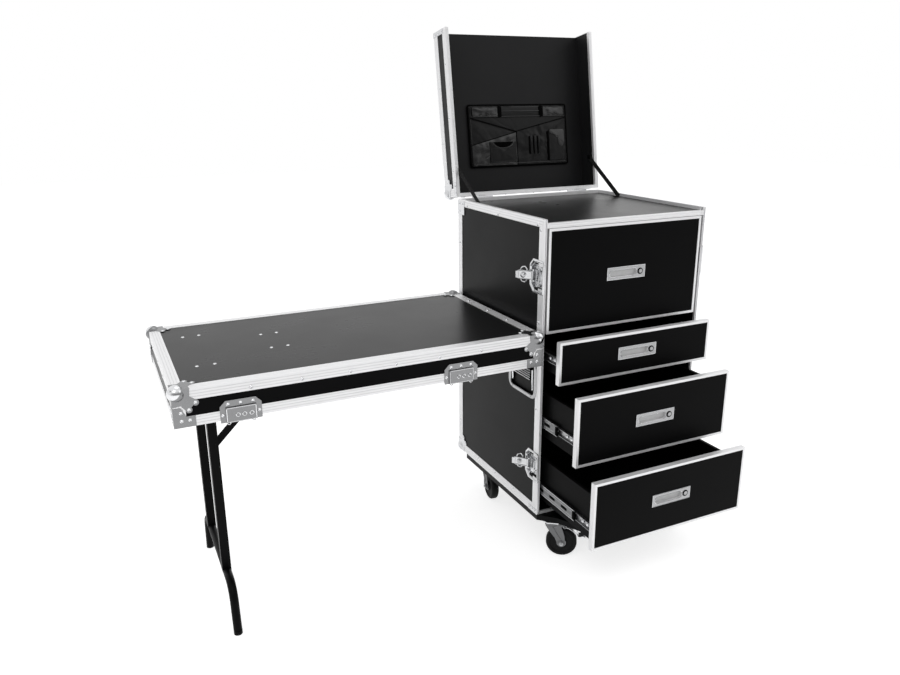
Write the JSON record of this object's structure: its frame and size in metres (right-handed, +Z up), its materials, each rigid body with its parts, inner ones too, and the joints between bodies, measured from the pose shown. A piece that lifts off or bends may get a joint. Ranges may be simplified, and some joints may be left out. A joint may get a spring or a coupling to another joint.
{
  "type": "wheeled drawer case",
  "caption": "Wheeled touring case with drawers, a hinged lid with an organiser, and its front cover hung at the side as a table on a folding leg.",
  "frame": {"origin": "middle of the footprint of the whole object as it stands open, on the floor", "axes": "+Z up, -Y to the front where the drawers come out, -X towards the table"},
  "size_m": [1.7092, 1.0452, 1.6687],
  "materials": {
    "black_board": "plywood faced with black laminate, satin",
    "aluminium_profile": "drawn, satin, with fine lines along it",
    "zinc_steel": "bright zinc plate",
    "black_steel": "black powder coat",
    "wheel_rubber": "moulded, satin",
    "black_leather": "leathercloth with a fine grain",
    "webbing": "woven webbing",
    "dark_button": "glossy"
  },
  "bodies": {
    "case": {"side_panels": "black_board", "rear_panel": "black_board", "base_boards": "black_board", "worktop_panel": "black_board", "front_frame": "aluminium_profile", "edge_profiles": "aluminium_profile", "case_fittings": "zinc_steel", "side_dishes": "zinc_steel", "outer_slides": "zinc_steel", "lid_straps": "webbing"},
    "lid": {"lid_boards": "black_board", "lid_profiles": "aluminium_profile", "lid_fittings": "zinc_steel", "organiser": "black_leather"},
    "table": {"table_boards": "black_board", "table_profiles": "aluminium_profile", "table_fittings": "zinc_steel"},
    "leg": {"leg_frame": "black_steel"},
    "brace_lower": {"brace_lower": "black_steel"},
    "brace_upper": {"brace_upper": "black_steel"},
    "drawer1": {"drawer1_box": "black_board", "drawer1_trim": "aluminium_profile", "drawer1_fittings": "zinc_steel"},
    "slides1": {"drawer1_slides": "zinc_steel"},
    "button1": {"drawer1_button": "dark_button"},
    "drawer2": {"drawer2_box": "black_board", "drawer2_trim": "aluminium_profile", "drawer2_fittings": "zinc_steel"},
    "slides2": {"drawer2_slides": "zinc_steel"},
    "button2": {"drawer2_button": "dark_button"},
    "drawer3": {"drawer3_box": "black_board", "drawer3_trim": "aluminium_profile", "drawer3_fittings": "zinc_steel"},
    "slides3": {"drawer3_slides": "zinc_steel"},
    "button3": {"drawer3_button": "dark_button"},
    "drawer4": {"drawer4_box": "black_board", "drawer4_trim": "aluminium_profile", "drawer4_fittings": "zinc_steel"},
    "slides4": {"drawer4_slides": "zinc_steel"},
    "button4": {"drawer4_button": "dark_button"},
    "fork_front_left": {"fork_front_left": "zinc_steel"},
    "wheel_front_left": {"wheel_front_left": "wheel_rubber"},
    "brake_front_left": {"brake_front_left": "zinc_steel"},
    "fork_front_right": {"fork_front_right": "zinc_steel"},
    "wheel_front_right": {"wheel_front_right": "wheel_rubber"},
    "brake_front_right": {"brake_front_right": "zinc_steel"},
    "fork_rear_left": {"fork_rear_left": "zinc_steel"},
    "wheel_rear_left": {"wheel_rear_left": "wheel_rubber"},
    "fork_rear_right": {"fork_rear_right": "zinc_steel"},
    "wheel_rear_right": {"wheel_rear_right": "wheel_rubber"},
    "latch_arm_left_lower": {"latch_arm_left_lower": "zinc_steel"},
    "latch_wing_left_lower": {"latch_wing_left_lower": "zinc_steel"},
    "latch_arm_left_upper": {"latch_arm_left_upper": "zinc_steel"},
    "latch_wing_left_upper": {"latch_wing_left_upper": "zinc_steel"},
    "bail_left": {"bail_left": "zinc_steel"},
    "latch_arm_right_lower": {"latch_arm_right_lower": "zinc_steel"},
    "latch_wing_right_lower": {"latch_wing_right_lower": "zinc_steel"},
    "latch_arm_right_upper": {"latch_arm_right_upper": "zinc_steel"},
    "latch_wing_right_upper": {"latch_wing_right_upper": "zinc_steel"},
    "bail_right": {"bail_right": "zinc_steel"}
  },
  "joints": [
    {"name": "lid_hinge", "type": "hinge", "parent": "case", "child": "lid", "pos_m": [0.5164, 0.33452, 1.1], "axis": [1, 0, 0], "range_deg": [0, 99.12], "deforming": ["lid_straps"]},
    {"name": "table_lift", "type": "slide", "parent": "case", "child": "table", "axis": [0, 0, 1], "range_m": [0, 0.06]},
    {"name": "leg_fold", "type": "hinge", "parent": "table", "child": "leg", "pos_m": [-0.7396, 0.04102, 0.738], "axis": [0, -1, 0], "range_deg": [0, 90]},
    {"name": "brace_lower_fold", "type": "hinge", "parent": "leg", "child": "brace_lower", "pos_m": [-0.7396, 0.04102, 0.518], "axis": [0, -1, 0], "range_deg": [0, 45]},
    {"name": "brace_upper_fold", "type": "hinge", "parent": "table", "child": "brace_upper", "pos_m": [-0.5196, 0.04102, 0.738], "axis": [0, 1, 0], "range_deg": [0, 45]},
    {"name": "drawer1_slide", "type": "slide", "parent": "case", "child": "drawer1", "axis": [0, -1, 0], "range_m": [0, 0.48]},
    {"name": "drawer1_slides_follow", "type": "slide", "parent": "case", "child": "slides1", "axis": [0, -1, 0], "range_m": [0, 0.24]},
    {"name": "button1_press", "type": "slide", "parent": "drawer1", "child": "button1", "axis": [0, 1, 0], "range_m": [0, 0.003], "stiffness_N_per_m": 300, "springref_m": -0.002},
    {"name": "drawer2_slide", "type": "slide", "parent": "case", "child": "drawer2", "axis": [0, -1, 0], "range_m": [-0.077, 0.403]},
    {"name": "drawer2_slides_follow", "type": "slide", "parent": "case", "child": "slides2", "axis": [0, -1, 0], "range_m": [-0.01155, 0.06045]},
    {"name": "button2_press", "type": "slide", "parent": "drawer2", "child": "button2", "axis": [0, 1, 0], "range_m": [0, 0.003], "stiffness_N_per_m": 300, "springref_m": -0.002},
    {"name": "drawer3_slide", "type": "slide", "parent": "case", "child": "drawer3", "axis": [0, -1, 0], "range_m": [-0.181, 0.299]},
    {"name": "drawer3_slides_follow", "type": "slide", "parent": "case", "child": "slides3", "axis": [0, -1, 0], "range_m": [-0.09955, 0.16445]},
    {"name": "button3_press", "type": "slide", "parent": "drawer3", "child": "button3", "axis": [0, 1, 0], "range_m": [0, 0.003], "stiffness_N_per_m": 300, "springref_m": -0.002},
    {"name": "drawer4_slide", "type": "slide", "parent": "case", "child": "drawer4", "axis": [0, -1, 0], "range_m": [-0.279, 0.201]},
    {"name": "drawer4_slides_follow", "type": "slide", "parent": "case", "child": "slides4", "axis": [0, -1, 0], "range_m": [-0.20646, 0.14874]},
    {"name": "button4_press", "type": "slide", "parent": "drawer4", "child": "button4", "axis": [0, 1, 0], "range_m": [0, 0.003], "stiffness_N_per_m": 300, "springref_m": -0.002},
    {"name": "swivel_front_left", "type": "hinge", "parent": "case", "child": "fork_front_left", "pos_m": [0.2704, -0.25348, 0.108], "axis": [0, 0, 1], "continuous": true},
    {"name": "roll_front_left", "type": "hinge", "parent": "fork_front_left", "child": "wheel_front_left", "pos_m": [0.29516, -0.27043, 0.05], "axis": [0.565, 0.8251, 0], "continuous": true},
    {"name": "brake_press_front_left", "type": "hinge", "parent": "fork_front_left", "child": "brake_front_left", "pos_m": [0.30341, -0.27608, 0.107], "axis": [0.565, 0.8251, 0], "range_deg": [0, 5], "stiffness_Nm_per_rad": 3, "springref_deg": -5.73},
    {"name": "swivel_front_right", "type": "hinge", "parent": "case", "child": "fork_front_right", "pos_m": [0.7624, -0.25348, 0.108], "axis": [0, 0, 1], "continuous": true},
    {"name": "roll_front_right", "type": "hinge", "parent": "fork_front_right", "child": "wheel_front_right", "pos_m": [0.74832, -0.27997, 0.05], "axis": [0.8829, -0.4695, 0], "continuous": true},
    {"name": "brake_press_front_right", "type": "hinge", "parent": "fork_front_right", "child": "brake_front_right", "pos_m": [0.74363, -0.2888, 0.107], "axis": [0.8829, -0.4695, 0], "range_deg": [0, 5], "stiffness_Nm_per_rad": 3, "springref_deg": -5.73},
    {"name": "swivel_rear_left", "type": "hinge", "parent": "case", "child": "fork_rear_left", "pos_m": [0.2734, 0.19352, 0.108], "axis": [0, 0, 1], "continuous": true},
    {"name": "roll_rear_left", "type": "hinge", "parent": "fork_rear_left", "child": "wheel_rear_left", "pos_m": [0.26923, 0.16381, 0.05], "axis": [0.9903, -0.1392, 0], "continuous": true},
    {"name": "swivel_rear_right", "type": "hinge", "parent": "case", "child": "fork_rear_right", "pos_m": [0.7594, 0.19352, 0.108], "axis": [0, 0, 1], "continuous": true},
    {"name": "roll_rear_right", "type": "hinge", "parent": "fork_rear_right", "child": "wheel_rear_right", "pos_m": [0.77349, 0.16703, 0.05], "axis": [0.8829, 0.4695, 0], "continuous": true},
    {"name": "latch_swing_left_lower", "type": "hinge", "parent": "case", "child": "latch_arm_left_lower", "pos_m": [0.2124, -0.18348, 0.31], "axis": [0, 0, 1], "range_deg": [-10, 140]},
    {"name": "latch_twist_left_lower", "type": "hinge", "parent": "latch_arm_left_lower", "child": "latch_wing_left_lower", "pos_m": [0.19441, -0.16203, 0.31], "axis": [0.766, 0.6428, 0], "range_deg": [-45, 45]},
    {"name": "latch_swing_left_upper", "type": "hinge", "parent": "case", "child": "latch_arm_left_upper", "pos_m": [0.2124, -0.18348, 0.9275], "axis": [0, 0, 1], "range_deg": [-10, 140]},
    {"name": "latch_twist_left_upper", "type": "hinge", "parent": "latch_arm_left_upper", "child": "latch_wing_left_upper", "pos_m": [0.19441, -0.16203, 0.9275], "axis": [0.766, 0.6428, 0], "range_deg": [-45, 45]},
    {"name": "handle_left_lift", "type": "hinge", "parent": "case", "child": "bail_left", "pos_m": [0.2203, -0.13398, 0.562], "axis": [0, -1, 0], "range_deg": [0, 90], "stiffness_Nm_per_rad": 0.4, "springref_deg": -34.38},
    {"name": "latch_swing_right_lower", "type": "hinge", "parent": "case", "child": "latch_arm_right_lower", "pos_m": [0.8204, -0.18348, 0.31], "axis": [0, 0, -1], "range_deg": [-10, 140]},
    {"name": "latch_twist_right_lower", "type": "hinge", "parent": "latch_arm_right_lower", "child": "latch_wing_right_lower", "pos_m": [0.8384, -0.16203, 0.31], "axis": [-0.766, 0.6428, 0], "range_deg": [-45, 45]},
    {"name": "latch_swing_right_upper", "type": "hinge", "parent": "case", "child": "latch_arm_right_upper", "pos_m": [0.8204, -0.18348, 0.9275], "axis": [0, 0, -1], "range_deg": [-10, 140]},
    {"name": "latch_twist_right_upper", "type": "hinge", "parent": "latch_arm_right_upper", "child": "latch_wing_right_upper", "pos_m": [0.8384, -0.16203, 0.9275], "axis": [-0.766, 0.6428, 0], "range_deg": [-45, 45]},
    {"name": "handle_right_lift", "type": "hinge", "parent": "case", "child": "bail_right", "pos_m": [0.8125, -0.13398, 0.562], "axis": [0, 1, 0], "range_deg": [0, 90], "stiffness_Nm_per_rad": 0.4, "springref_deg": -34.38}
  ],
  "couplings": [
    {"joint": "brace_lower_fold", "follows": "leg_fold", "ratio": 0.5},
    {"joint": "brace_upper_fold", "follows": "leg_fold", "ratio": 0.5},
    {"joint": "drawer1_slides_follow", "follows": "drawer1_slide", "ratio": 0.5},
    {"joint": "drawer2_slides_follow", "follows": "drawer2_slide", "ratio": 0.15},
    {"joint": "drawer3_slides_follow", "follows": "drawer3_slide", "ratio": 0.55},
    {"joint": "drawer4_slides_follow", "follows": "drawer4_slide", "ratio": 0.74}
  ]
}
